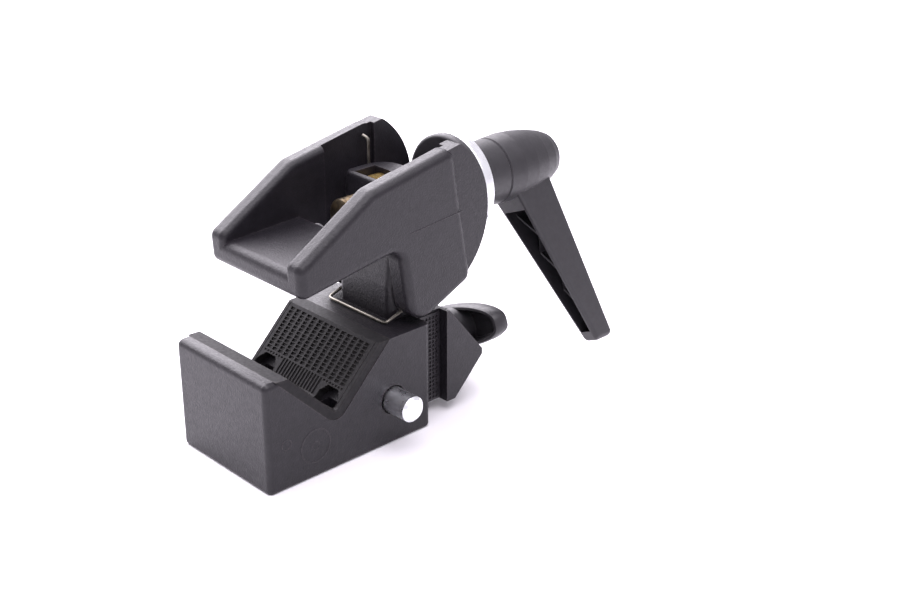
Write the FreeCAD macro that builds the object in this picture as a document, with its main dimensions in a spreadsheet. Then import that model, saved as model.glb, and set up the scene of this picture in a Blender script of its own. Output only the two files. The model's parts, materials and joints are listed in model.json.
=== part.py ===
import FreeCAD, Part
import math
import os
import Sketcher
from FreeCAD import Placement, Rotation, Vector

# Super clamp: a cast lower jaw with a V seat, a cast upper jaw that rocks on a cross pin, and a screw
# with a ratchet lever that pushes a flat thrust disc against two half-moon cams on the upper jaw.
# Frame: +Z up, +Y to the lever, origin on the stud socket's axis at the base plane. Sketches measure
# Y from the front lip, so each sub-part is placed socket_setback towards the front. Millimetres.

SIZES = {
    # lower jaw casting
    "jaw_width": 46,
    "block_height": 37,
    "block_depth": 65.5,
    "seat_apex_y": 26.45,
    "seat_apex_z": 14.85,
    "seat_fillet": 4.7,
    "pad_thickness": 3.1,
    "neck_width": 32,
    "neck_floor": 4,
    "neck_end": 75.8,
    "tail_width": 40,
    "tail_end": 92,
    "tail_point_z": 17.5,
    # column over the lower jaw
    "column_width": 26,
    "column_front": 57.5,
    "column_top_front": 61.2,
    "column_rear": 78.6,
    "column_top": 80.9,
    # hinge of the upper jaw
    "pivot_y": 65,
    "pivot_z": 47,
    "pivot_radius": 3,
    "pivot_blind_end": 20.5,
    "pivot_head_radius": 5,
    "pivot_head_depth": 3,
    # upper jaw
    "cheek_gap": 31.2,
    "cam_width": 43,
    "cam_y": 64.6,
    "cam_z": 70.2,
    "cam_radius": 27.9,
    "nose_pad_width": 39.6,
    "nose_pad_sink": 1.4,
    "nose_pad_stand": 0.4,
    # clamping screw, nut and thrust washers
    "screw_z": 71,
    "screw_radius": 6,
    "screw_tip": 48.5,
    "nut_width": 17.8,
    "nut_front": 62.5,
    "nut_rear": 70.9,
    "nut_bottom": 58.4,
    "nut_top": 79.2,
    "disc_front": 92.9,
    "disc_rear": 95.7,
    "disc_radius": 17.3,
    "washer_rear": 99.6,
    "washer_radius": 17.6,
    # ratchet lever
    "lever_angle": 22.5,
    "hub_front": 100.3,
    "hub_rear": 141.0,
    "hub_rear_radius": 8,
    "hub_radius": 11.4,
    "spline_count": 12,
    # stud socket and its two locks
    "socket_setback": 60.5,
    "socket_flats": 16,
    "socket_depth": 30,
    "button_y": 49.5,
    "button_z": 15.5,
    "button_radius": 4.3,
    "button_waist_radius": 2.7,
    "button_stand": 10.2,
    "button_travel": 8,
    "knob_z": 17.5,
    "knob_screw_radius": 4,
    "stud_pad_radius": 5,
    # clearances
    "running_gap": 0.05,
    "loose_gap": 0.3,
}

doc = FreeCAD.newDocument("super_clamp")
sheet = doc.addObject("Spreadsheet::Sheet", "Sizes")
for row, (alias, value) in enumerate(SIZES.items(), start=1):
    sheet.set(f"A{row}", alias)
    sheet.set(f"B{row}", str(value))
    sheet.setAlias(f"B{row}", alias)
doc.recompute()


def size(alias):
    """The value of one cell of the sheet, for shapes that Part's own functions make."""
    return float(sheet.get(alias))


# ---------------------------------------------------------------- sketches and features


def new_body(label):
    """A PartDesign body in the lip frame."""
    body = doc.addObject("PartDesign::Body", label)
    body.Label = label
    body.setExpression("Placement.Base.y", "-Sizes.socket_setback")
    return body


def new_sketch(body, name, role, offset=None):
    """A sketch on one of the body's origin planes. YZ sketches are (Y, Z), XZ sketches (X, Z)."""
    sketch = body.newObject("Sketcher::SketchObject", f"{body.Name}_{name}")
    plane = next(item for item in body.Origin.OriginFeatures if item.Role == role)
    sketch.AttachmentSupport = [(plane, "")]
    sketch.MapMode = "FlatFace"
    if offset is not None:
        sketch.setExpression("AttachmentOffset.Base.z", str(offset))
    return sketch


def pin_down(sketch, kind, geometry, vertex, value, start=1.0):
    """Fix one coordinate of a sketch point to a number or to an expression of the sheet."""
    start = start if isinstance(value, str) else float(value)
    index = sketch.addConstraint(Sketcher.Constraint(kind, -1, 1, geometry, vertex, start))
    if isinstance(value, str):
        sketch.setExpression(f"Constraints[{index}]", value)


def polygon(sketch, points):
    """A closed outline of straight edges. Each coordinate is a number or an expression."""
    first = sketch.GeometryCount
    count = len(points)
    corner = [Vector(10 * math.cos(2 * math.pi * k / count), 10 * math.sin(2 * math.pi * k / count), 0)
              for k in range(count)]
    for k in range(count):
        sketch.addGeometry(Part.LineSegment(corner[k], corner[(k + 1) % count]), False)
    for k in range(count):
        sketch.addConstraint(Sketcher.Constraint("Coincident", first + k, 2, first + (k + 1) % count, 1))
    for k, (across, up) in enumerate(points):
        pin_down(sketch, "DistanceX", first + k, 1, across)
        pin_down(sketch, "DistanceY", first + k, 1, up)


def circle(sketch, across, up, radius):
    """A circle with its centre and radius given as numbers or expressions."""
    index = sketch.addGeometry(Part.Circle(Vector(1, 1, 0), Vector(0, 0, 1), 2), False)
    pin_down(sketch, "DistanceX", index, 3, across)
    pin_down(sketch, "DistanceY", index, 3, up)
    constraint = sketch.addConstraint(Sketcher.Constraint("Radius", index, 2.0))
    if isinstance(radius, str):
        sketch.setExpression(f"Constraints[{constraint}]", radius)
    else:
        sketch.setDatum(constraint, float(radius))


def rectangle(sketch, half_width, low, high):
    """A rectangle that is symmetric about the sketch's vertical axis."""
    polygon(sketch, [(f"-({half_width})", low), (f"{half_width}", low),
                     (f"{half_width}", high), (f"-({half_width})", high)])


def pad(body, sketch, length, side="One side", flip=False):
    feature = body.newObject("PartDesign::Pad", f"{sketch.Name}_pad")
    feature.Profile = sketch
    feature.SideType = side
    feature.setExpression("Length", str(length))
    feature.Reversed = flip
    doc.recompute()
    return feature


def pocket(body, sketch, length, side="One side", flip=False):
    """Cut a pocket, and stop if it takes nothing away."""
    before = body.Shape.Volume
    feature = body.newObject("PartDesign::Pocket", f"{sketch.Name}_pocket")
    feature.Profile = sketch
    feature.SideType = side
    feature.setExpression("Length", str(length))
    feature.Reversed = flip
    doc.recompute()
    if body.Shape.Volume > before - 1e-6:
        raise RuntimeError(f"{feature.Name} cuts nothing")
    return feature


def revolve(body, sketch, axis="H_Axis"):
    feature = body.newObject("PartDesign::Revolution", f"{sketch.Name}_turn")
    feature.Profile = sketch
    feature.ReferenceAxis = (sketch, [axis])
    feature.Angle = 360
    doc.recompute()
    return feature


def edge_names(body, test):
    """Names of the body's edges whose middle and direction pass a test, in the body's own frame."""
    names = []
    shape = body.Tip.Shape
    for index, edge in enumerate(shape.Edges, start=1):
        if edge.Length < 0.2 or edge.Degenerated:
            continue
        middle = edge.valueAt((edge.FirstParameter + edge.LastParameter) / 2)
        along = edge.tangentAt((edge.FirstParameter + edge.LastParameter) / 2)
        if test(middle, along, edge):
            names.append(f"Edge{index}")
    return names


def fillet(body, radius, test):
    """Round the edges that pass the test."""
    names = edge_names(body, test)
    feature = body.newObject("PartDesign::Fillet", f"{body.Name}_round_{len(body.Group)}")
    feature.Base = (body.Group[-2], names)
    feature.setExpression("Radius", str(radius))
    doc.recompute()
    if not names or "Invalid" in feature.State or feature.Shape.isNull():
        raise RuntimeError(f"{feature.Name} failed on {len(names)} edges")
    return feature


# outline of one peg socket, as distance from the middle plane and Y
PEG_WINDOW = [(11.0, 26.5), (11.6, 29.2), (13.6, 31.0), (18.6, 31.0), (21.0, 28.8), (21.0, 26.5)]


def near(value, target, slack=0.05):
    return abs(value - target) < slack


# ---------------------------------------------------------------- lower jaw (root body)


def make_lower_jaw_body():
    """Block with the V seat, neck, tail, column and every bore that the lower jaw carries."""
    body = new_body("lower_jaw_body")
    block = new_sketch(body, "block", "YZ_Plane")
    rise = "(Sizes.block_height - Sizes.seat_apex_z)"
    polygon(block, [
        (0, 0),
        (0, "Sizes.block_height"),
        (f"Sizes.seat_apex_y - {rise}", "Sizes.block_height"),
        ("Sizes.seat_apex_y", "Sizes.seat_apex_z"),
        (f"Sizes.seat_apex_y + {rise}", "Sizes.block_height"),
        ("Sizes.block_depth", "Sizes.block_height"),
        ("Sizes.block_depth", 0),
    ])
    pad(body, block, "Sizes.jaw_width", "Symmetric")
    apex_y = size("seat_apex_y")
    apex_z = size("seat_apex_z")
    fillet(body, "Sizes.seat_fillet", lambda m, d, e: near(m.y, apex_y) and near(m.z, apex_z))
    fillet(body, 2.2, lambda m, d, e: near(m.y, 0) and near(m.z, size("block_height")))
    half = size("jaw_width") / 2
    rear = size("block_depth")
    fillet(body, 1.8, lambda m, d, e: near(abs(m.x), half) and (near(m.y, 0) or near(m.y, rear)))
    fillet(body, 1.2, lambda m, d, e: near(m.z, 0))

    column = new_sketch(body, "column", "YZ_Plane")
    polygon(column, [
        ("Sizes.column_front", "Sizes.block_height - 5"),
        ("Sizes.column_front", "Sizes.pivot_z + 1"),
        ("Sizes.column_top_front", "Sizes.column_top"),
        ("Sizes.column_rear", "Sizes.column_top"),
        ("Sizes.column_rear", "Sizes.block_height - 5"),
    ])
    pad(body, column, "Sizes.column_width", "Symmetric")
    wall = size("column_width") / 2
    fillet(body, 8.5, lambda m, d, e: near(abs(m.x), wall) and near(m.y, size("column_rear")))
    fillet(body, 2.6, lambda m, d, e: near(abs(m.x), wall) and m.y < size("column_top_front") + 0.1
           and abs(d.z) > 0.9 and m.z > size("block_height"))
    fillet(body, 1.3, lambda m, d, e: near(m.z, size("column_top")))

    neck = new_sketch(body, "neck", "YZ_Plane")
    polygon(neck, [
        ("Sizes.block_depth - 3", "Sizes.neck_floor"),
        ("Sizes.block_depth - 3", "Sizes.block_height"),
        ("Sizes.neck_end + 1", "Sizes.block_height"),
        ("Sizes.neck_end + 1", "Sizes.neck_floor"),
    ])
    pad(body, neck, "Sizes.neck_width", "Symmetric")

    tail = new_sketch(body, "tail", "YZ_Plane")
    polygon(tail, [
        ("Sizes.neck_end", "Sizes.neck_floor"),
        ("Sizes.neck_end", "Sizes.block_height"),
        ("Sizes.neck_end + 1.2", "Sizes.block_height"),
        ("Sizes.tail_end", "Sizes.tail_point_z + 1"),
        ("Sizes.tail_end", "Sizes.tail_point_z - 1"),
        ("Sizes.neck_end + 3.7", "Sizes.neck_floor"),
    ])
    pad(body, tail, "Sizes.tail_width", "Symmetric")

    boss = new_sketch(body, "knob_boss", "XZ_Plane", "-Sizes.tail_end + 0.5")
    circle(boss, 0, "Sizes.knob_z", 8.8)
    pad(body, boss, "Sizes.tail_end - Sizes.neck_end - 1")

    slot = new_sketch(body, "nut_slot", "XY_Plane", "Sizes.column_top")
    rectangle(slot, "Sizes.nut_width / 2 + 0.1", "Sizes.nut_front - 0.1", "Sizes.nut_rear + 0.1")
    pocket(body, slot, "Sizes.column_top - Sizes.nut_bottom")
    screw_way = new_sketch(body, "screw_way", "XZ_Plane")
    circle(screw_way, 0, "Sizes.screw_z", "Sizes.screw_radius + Sizes.loose_gap")
    pocket(body, screw_way, 100, flip=False)
    pivot = new_sketch(body, "pivot", "YZ_Plane")
    circle(pivot, "Sizes.pivot_y", "Sizes.pivot_z", "Sizes.pivot_radius + Sizes.running_gap")
    pocket(body, pivot, "Sizes.jaw_width", "Symmetric")

    socket = new_sketch(body, "stud_socket", "XY_Plane")
    reach = "Sizes.socket_flats / 2 / cos(30)"
    flat = "Sizes.socket_flats / 2"
    middle = "Sizes.socket_setback"
    polygon(socket, [
        (f"{reach}", middle),
        (f"{reach} / 2", f"{middle} + {flat}"),
        (f"-{reach} / 2", f"{middle} + {flat}"),
        (f"-{reach}", middle),
        (f"-{reach} / 2", f"{middle} - {flat}"),
        (f"{reach} / 2", f"{middle} - {flat}"),
    ])
    pocket(body, socket, "Sizes.socket_depth", flip=True)

    button = new_sketch(body, "button_bore", "YZ_Plane", "Sizes.jaw_width / 2")
    circle(button, "Sizes.button_y", "Sizes.button_z", "Sizes.button_radius + Sizes.running_gap")
    pocket(body, button, "Sizes.jaw_width - 2.5")
    mouth = new_sketch(body, "button_mouth", "YZ_Plane", "Sizes.jaw_width / 2")
    circle(mouth, "Sizes.button_y", "Sizes.button_z", "Sizes.button_radius + 0.6")
    pocket(body, mouth, 1.4)
    stop = new_sketch(body, "stop_pin_bore", "XY_Plane")
    circle(stop, 4.0, "Sizes.button_y - Sizes.button_radius", 1.5)
    pocket(body, stop, 19.5, flip=True)

    knob_way = new_sketch(body, "knob_way", "XZ_Plane", "-Sizes.tail_end - 5")
    circle(knob_way, 0, "Sizes.knob_z", "Sizes.stud_pad_radius + Sizes.running_gap")
    pocket(body, knob_way, "Sizes.tail_end + 5 - Sizes.socket_setback", flip=True)
    bush_way = new_sketch(body, "bush_way", "XZ_Plane", "-Sizes.tail_end - 5")
    circle(bush_way, 0, "Sizes.knob_z", 6.5)
    pocket(body, bush_way, "Sizes.tail_end + 5 - Sizes.neck_end - 0.6", flip=True)
    hub_way = new_sketch(body, "hub_way", "XZ_Plane", "-Sizes.tail_end - 5")
    circle(hub_way, 0, "Sizes.knob_z", 7.4)
    pocket(body, hub_way, "Sizes.tail_end + 5 - 84.3", flip=True)

    pegs = new_sketch(body, "peg_sockets", "XY_Plane", 9)
    for side in (1, -1):
        polygon(pegs, [(side * across, y) for across, y in PEG_WINDOW])
    pocket(body, pegs, 15, flip=True)
    return body


def make_lower_jaw_pad():
    """The V liner that the tube lies in, with two windows over the peg sockets."""
    body = new_body("lower_jaw_pad")
    rise = "(Sizes.block_height - Sizes.seat_apex_z)"
    lift = "Sizes.pad_thickness / cos(45)"
    outline = new_sketch(body, "outline", "YZ_Plane")
    polygon(outline, [
        (f"Sizes.seat_apex_y - {rise}", "Sizes.block_height"),
        ("Sizes.seat_apex_y", "Sizes.seat_apex_z"),
        (f"Sizes.seat_apex_y + {rise}", "Sizes.block_height"),
        (f"Sizes.seat_apex_y + {rise} - {lift}", "Sizes.block_height"),
        ("Sizes.seat_apex_y", f"Sizes.seat_apex_z + {lift}"),
        (f"Sizes.seat_apex_y - {rise} + {lift}", "Sizes.block_height"),
    ])
    pad(body, outline, "Sizes.jaw_width - 0.3", "Symmetric")
    apex_y = size("seat_apex_y")
    apex_z = size("seat_apex_z")
    fillet(body, "Sizes.seat_fillet", lambda m, d, e: near(m.y, apex_y) and m.z < apex_z + 1)
    fillet(body, 1.6, lambda m, d, e: near(m.y, apex_y) and near(abs(d.x), 1) and m.z > apex_z + 3)
    windows = new_sketch(body, "windows", "XY_Plane")
    for side in (1, -1):
        polygon(windows, [(side * across, y) for across, y in PEG_WINDOW])
    pocket(body, windows, "Sizes.block_height", flip=True)
    return body


def make_screw_nut():
    """Square nut dropped into the column's slot."""
    body = new_body("screw_nut")
    outline = new_sketch(body, "outline", "XZ_Plane", "-Sizes.nut_rear")
    rectangle(outline, "Sizes.nut_width / 2", "Sizes.nut_bottom + 0.2", "Sizes.nut_top")
    pad(body, outline, "Sizes.nut_rear - Sizes.nut_front")
    fillet(body, 3, lambda m, d, e: near(m.z, size("nut_top")) and near(abs(d.y), 1))
    bore = new_sketch(body, "bore", "XZ_Plane")
    circle(bore, 0, "Sizes.screw_z", "Sizes.screw_radius + Sizes.running_gap")
    pocket(body, bore, 100)
    return body


def cylinder(name, radius, height, start, direction):
    """A bound Part::Cylinder that starts at a point of the lip frame and runs along a direction."""
    item = doc.addObject("Part::Cylinder", name)
    item.setExpression("Radius", str(radius))
    item.setExpression("Height", str(height))
    origin = Vector(start[0], start[1] - size("socket_setback"), start[2])
    item.Placement = Placement(origin, Rotation(Vector(0, 0, 1), Vector(*direction)))
    return item


def make_button_stop_pin():
    """Dowel pressed in from the base, which keeps the lock button in its bore."""
    pin = cylinder("button_stop_pin", 1.5, 18,
                   (4.0, size("button_y") - size("button_radius"), 1.5), (0, 0, 1))
    pin.Label = "button_stop_pin"
    return pin


def make_knob_bush():
    """Threaded bush pressed into the tail, which the knob's screw runs in."""
    start = (0, size("neck_end") + 0.6, size("knob_z"))
    outer = cylinder("knob_bush_outer", 6.5, "84.3 - Sizes.neck_end - 0.6", start, (0, 1, 0))
    inner = cylinder("knob_bush_bore", "Sizes.knob_screw_radius + Sizes.running_gap", 20,
                     (0, start[1] - 5, start[2]), (0, 1, 0))
    bush = doc.addObject("Part::Cut", "knob_bush")
    bush.Base = outer
    bush.Tool = inner
    bush.Label = "knob_bush"
    return bush


# ---------------------------------------------------------------- upper jaw


def nose_underside(y):
    """Height of the nose's flat underside, which rises towards the hinge."""
    return 58.7 + 0.162 * (y - 15.2)


def cheek_top(y):
    """Height of a cheek's top edge: a steep run from the nose, then a gentle one to the cams."""
    if y < 43.0:
        return 69.4 + (86.6 - 69.4) * (y - 14.6) / (43.0 - 14.6)
    return 86.6 + (93.2 - 86.6) * (y - 43.0) / (76.5 - 43.0)


def make_upper_jaw():
    """Channel-shaped jaw: nose plate, two cheeks that run down to the hinge, and two cams behind."""
    body = new_body("upper_jaw")
    profile = new_sketch(body, "profile", "YZ_Plane")
    polygon(profile, [
        (15.2, 58.7), (14.6, 69.4), (43.0, 86.6), (76.5, 93.2), (79.6, 74.0), (83.8, 52.0),
        (83.8, 47.3), (58.6, 36.0), (54.1, 65.0),
    ])
    pad(body, profile, "Sizes.jaw_width", "Symmetric")
    fillet(body, 4.5, lambda m, d, e: near(m.y, 54.1) and near(m.z, 65))
    fillet(body, 7.2, lambda m, d, e: near(m.y, 58.6) and near(m.z, 36))
    fillet(body, 3.3, lambda m, d, e: near(m.y, 83.8) and near(m.z, 47.3))
    fillet(body, 3.5, lambda m, d, e: near(m.y, 76.5) and near(m.z, 93.2))
    fillet(body, 6, lambda m, d, e: near(m.y, 43) and near(m.z, 86.6))
    fillet(body, 3.2, lambda m, d, e: near(m.y, 14.6) and near(m.z, 69.4))
    fillet(body, 3, lambda m, d, e: near(m.y, 15.2) and near(m.z, 58.7))
    half = size("jaw_width") / 2
    fillet(body, 2.7, lambda m, d, e: near(abs(m.x), half))

    channel = new_sketch(body, "channel", "YZ_Plane")
    polygon(channel, [(5, 66.5), (44.4, 68.2), (44.4, 30), (100, 30), (100, 105), (5, 105)])
    pocket(body, channel, "Sizes.cheek_gap", "Symmetric")
    fillet(body, 3, lambda m, d, e: near(m.z, 66.9, 0.3) and near(abs(d.x), 1) and m.y < 16)
    fillet(body, 2.1, lambda m, d, e: near(abs(m.x), size("cheek_gap") / 2) and 18 < m.y < 75
           and near(m.z, cheek_top(m.y), 0.7))

    cam = new_sketch(body, "cam", "YZ_Plane")
    centre = Vector(size("cam_y"), size("cam_z"), 0)
    swing = (math.radians(-48), math.radians(56))
    arc = Part.ArcOfCircle(Part.Circle(centre, Vector(0, 0, 1), size("cam_radius")), *swing)
    inner = [Vector(73, 92.0, 0), Vector(70, 87.0, 0), Vector(74, 56, 0)]
    cam.addGeometry(arc, False)
    for start, end in zip([arc.EndPoint] + inner, inner + [arc.StartPoint]):
        cam.addGeometry(Part.LineSegment(start, end), False)
    count = len(inner) + 2
    for first in range(count):
        cam.addConstraint(Sketcher.Constraint("Coincident", first, 2, (first + 1) % count, 1))
    pin_down(cam, "DistanceX", 0, 3, "Sizes.cam_y", centre.x)
    pin_down(cam, "DistanceY", 0, 3, "Sizes.cam_z", centre.y)
    radius = cam.addConstraint(Sketcher.Constraint("Radius", 0, size("cam_radius")))
    cam.setExpression(f"Constraints[{radius}]", "Sizes.cam_radius")
    for geometry, spot in enumerate(inner, start=1):
        pin_down(cam, "DistanceX", geometry, 2, spot.x)
        pin_down(cam, "DistanceY", geometry, 2, spot.y)
    pin_down(cam, "DistanceY", 0, 1, arc.StartPoint.y)
    pin_down(cam, "DistanceY", 0, 2, arc.EndPoint.y)
    pad(body, cam, "Sizes.cam_width", "Symmetric")
    fillet(body, 2, lambda m, d, e: near(m.y, arc.EndPoint.x) and near(m.z, arc.EndPoint.y)
           and near(abs(d.x), 1))
    gap = new_sketch(body, "cam_gap", "YZ_Plane")
    polygon(gap, [(69, 30), (69, 105), (100, 105), (100, 30)])
    pocket(body, gap, "Sizes.cheek_gap", "Symmetric")

    recess = new_sketch(body, "cheek_recess", "YZ_Plane")
    polygon(recess, [(55.5, 62), (55.5, 105), (76.5, 105), (76.5, 62)])
    pocket(body, recess, "Sizes.cheek_gap + 3.8", "Symmetric")

    under = new_sketch(body, "nose_recess", "YZ_Plane")
    sink = size("nose_pad_sink")
    polygon(under, [
        (18, nose_underside(18) - 3), (18, nose_underside(18) + sink),
        (43.5, nose_underside(43.5) + sink), (43.5, nose_underside(43.5) - 3),
    ])
    pocket(body, under, "Sizes.nose_pad_width", "Symmetric")

    bore = new_sketch(body, "pin_bore", "YZ_Plane", "-Sizes.jaw_width / 2")
    circle(bore, "Sizes.pivot_y", "Sizes.pivot_z", "Sizes.pivot_radius")
    pocket(body, bore, "Sizes.jaw_width / 2 + Sizes.pivot_blind_end", flip=True)
    head = new_sketch(body, "pin_head_bore", "YZ_Plane", "-Sizes.jaw_width / 2")
    circle(head, "Sizes.pivot_y", "Sizes.pivot_z", "Sizes.pivot_head_radius")
    pocket(body, head, "Sizes.pivot_head_depth", flip=True)
    return body


def make_upper_jaw_pad():
    """Flat liner set into the nose's underside."""
    body = new_body("upper_jaw_pad")
    outline = new_sketch(body, "outline", "YZ_Plane")
    sink = size("nose_pad_sink")
    stand = size("nose_pad_stand")
    polygon(outline, [
        (18.1, nose_underside(18.1) - stand), (18.1, nose_underside(18.1) + sink),
        (43.4, nose_underside(43.4) + sink), (43.4, nose_underside(43.4) - stand),
    ])
    pad(body, outline, "Sizes.nose_pad_width - 0.2", "Symmetric")
    return body


def make_pivot_pin():
    """Headed cross pin, pressed into the blind hole of the far cheek."""
    left = size("jaw_width") / 2
    spot = (-left + 0.2, size("pivot_y"), size("pivot_z"))
    shank = cylinder("pivot_pin_shank", "Sizes.pivot_radius",
                     "Sizes.jaw_width / 2 - 0.2 + Sizes.pivot_blind_end", spot, (1, 0, 0))
    head = cylinder("pivot_pin_head", "Sizes.pivot_head_radius", "Sizes.pivot_head_depth - 0.2",
                    spot, (1, 0, 0))
    pin = doc.addObject("Part::Fuse", "pivot_pin")
    pin.Base = shank
    pin.Tool = head
    pin.Label = "pivot_pin"
    return pin


# ---------------------------------------------------------------- wire springs


def wire_run(points, radius):
    """A bent wire: a cylinder along each straight run and a ball at each bend."""
    solids = []
    for start, end in zip(points, points[1:]):
        solids.append(Part.makeCylinder(radius, (end - start).Length, start, end - start))
    for bend in points[1:-1]:
        solids.append(Part.makeSphere(radius, bend))
    return solids[0].fuse(solids[1:])


def coil(mean_radius, wire_radius, pitch, height, base, axis):
    """A helical wire along an axis from a base point."""
    path = Part.makeHelix(pitch, height, mean_radius)
    profile = Part.Wire(Part.makeCircle(wire_radius, Vector(mean_radius, 0, 0), Vector(0, 1, 0)))
    shape = Part.Wire(path).makePipeShell([profile], True, True)
    return shape.transformed(Placement(base, Rotation(Vector(0, 0, 1), axis)).toMatrix(), True)


def feature(label, shape):
    """A Part::Feature in the lip frame."""
    item = doc.addObject("Part::Feature", label)
    item.Shape = shape
    item.Label = label
    item.Placement = Placement(Vector(0, -size("socket_setback"), 0), Rotation())
    return item


def make_jaw_spring():
    """Double torsion spring: a bail across the column's foot, two coils on the pin, two arms."""
    wire = 0.55
    coil_radius = 6.2
    arm_setback = 8.3
    side = 14.3
    pivot = Vector(0, size("pivot_y"), size("pivot_z"))
    foot = Vector(0, size("column_front") - 3.2, size("block_height") + 0.65)
    shapes = []
    for sign in (1, -1):
        across = Vector(sign * side, 0, 0)
        outer = Vector(sign * (side + 0.6), 0, 0)
        low = pivot + across + Vector(0, -1.2, -coil_radius)
        high = pivot + outer + Vector(0, coil_radius, 0)
        arm = pivot + outer + Vector(0, arm_setback, 0)
        shapes.append(wire_run([foot, foot + across, low], wire))
        shapes.append(wire_run([high, arm + Vector(0, 0, 10), arm + Vector(0, 0, 41.2),
                                arm + Vector(sign * 1.6, -1, 42.2)], wire))
        ring = coil(coil_radius, wire, 1.15, 1.15, pivot + Vector(sign * side - 0.575, 0, 0), Vector(1, 0, 0))
        shapes.append(ring)
    return feature("jaw_spring", shapes[0].fuse(shapes[1:]))


def make_button_spring():
    """Compression spring behind the lock button."""
    spot = Vector(-20.0, size("button_y"), size("button_z"))
    return feature("lock_button_spring", coil(3.1, 0.45, 1.9, 13.2, spot, Vector(1, 0, 0)))


def make_lever_spring():
    """Compression spring under the retaining screw's head, which pulls the lever home."""
    spot = Vector(0, 117.0, size("screw_z"))
    return feature("lever_spring", coil(4.6, 0.45, 1.9, 10.2, spot, Vector(0, 1, 0)))


# ---------------------------------------------------------------- clamping screw and lever


def screw_frame(body):
    """Move a body whose sketches are turned about its own Y axis up to the screw's axis."""
    body.setExpression("Placement.Base.z", "Sizes.screw_z")


def turned_frame(body, angle):
    """Place a body on the screw's axis, turned about it so that the splines mesh."""
    body.Placement = Placement(Vector(0, 0, 0), Rotation(Vector(0, 1, 0), -angle))
    body.setExpression("Placement.Base.y", "-Sizes.socket_setback")
    screw_frame(body)


def make_thrust_disc():
    body = new_body("thrust_disc")
    outline = new_sketch(body, "outline", "YZ_Plane")
    bore = "Sizes.screw_radius + Sizes.running_gap"
    polygon(outline, [("Sizes.disc_front", bore), ("Sizes.disc_front", "Sizes.disc_radius"),
                      ("Sizes.disc_rear", "Sizes.disc_radius"), ("Sizes.disc_rear", bore)])
    revolve(body, outline)
    rim = 2 * math.pi * size("disc_radius")
    fillet(body, 1.3, lambda m, d, e: near(m.y, size("disc_front")) and near(e.Length, rim))
    screw_frame(body)
    return body


def make_thrust_washer():
    body = new_body("thrust_washer")
    outline = new_sketch(body, "outline", "YZ_Plane")
    bore = "Sizes.screw_radius + Sizes.running_gap"
    polygon(outline, [("Sizes.disc_rear", bore), ("Sizes.disc_rear", "Sizes.washer_radius"),
                      ("Sizes.washer_rear", "Sizes.washer_radius"), ("Sizes.washer_rear", bore)])
    revolve(body, outline)
    fillet(body, 0.5, lambda m, d, e: near(e.Length, 2 * math.pi * size("washer_radius"), 1))
    screw_frame(body)
    return body


def make_clamp_screw():
    """Screw with a flange, a ring of spline teeth and a tapped end for the retaining screw."""
    body = new_body("clamp_screw")
    outline = new_sketch(body, "outline", "YZ_Plane")
    polygon(outline, [
        ("Sizes.screw_tip", 0), ("Sizes.screw_tip", "Sizes.screw_radius - 1"),
        ("Sizes.screw_tip + 1", "Sizes.screw_radius"),
        ("Sizes.washer_rear + Sizes.loose_gap", "Sizes.screw_radius"),
        ("Sizes.washer_rear + Sizes.loose_gap", 9.2),
        (102.6, 9.2), (102.6, 7.4), (112.6, 7.4), (112.6, 3.0), (104.0, 3.0), (104.0, 0),
    ])
    revolve(body, outline)
    tooth = new_sketch(body, "tooth", "XZ_Plane", -107.0)
    polygon(tooth, [(-1.0, 7.0), (1.0, 7.0), (0.8, 8.5), (-0.8, 8.5)])
    teeth = pad(body, tooth, 4.6)
    pattern = body.newObject("PartDesign::PolarPattern", "clamp_screw_teeth")
    pattern.Originals = [teeth]
    pattern.Axis = (tooth, ["N_Axis"])
    pattern.Angle = 360
    pattern.setExpression("Occurrences", "Sizes.spline_count")
    body.Tip = pattern
    doc.recompute()
    turned_frame(body, size("lever_angle") - 180 / size("spline_count"))
    return body


def make_retaining_screw():
    """Screw in the clamping screw's end, whose head holds the lever's spring."""
    body = new_body("lever_retaining_screw")
    outline = new_sketch(body, "outline", "YZ_Plane")
    polygon(outline, [(104.2, 0), (104.2, 3.0), (128.0, 3.0), (128.0, 5.6), (132.0, 5.6), (132.0, 0)])
    revolve(body, outline)
    screw_frame(body)
    return body


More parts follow.
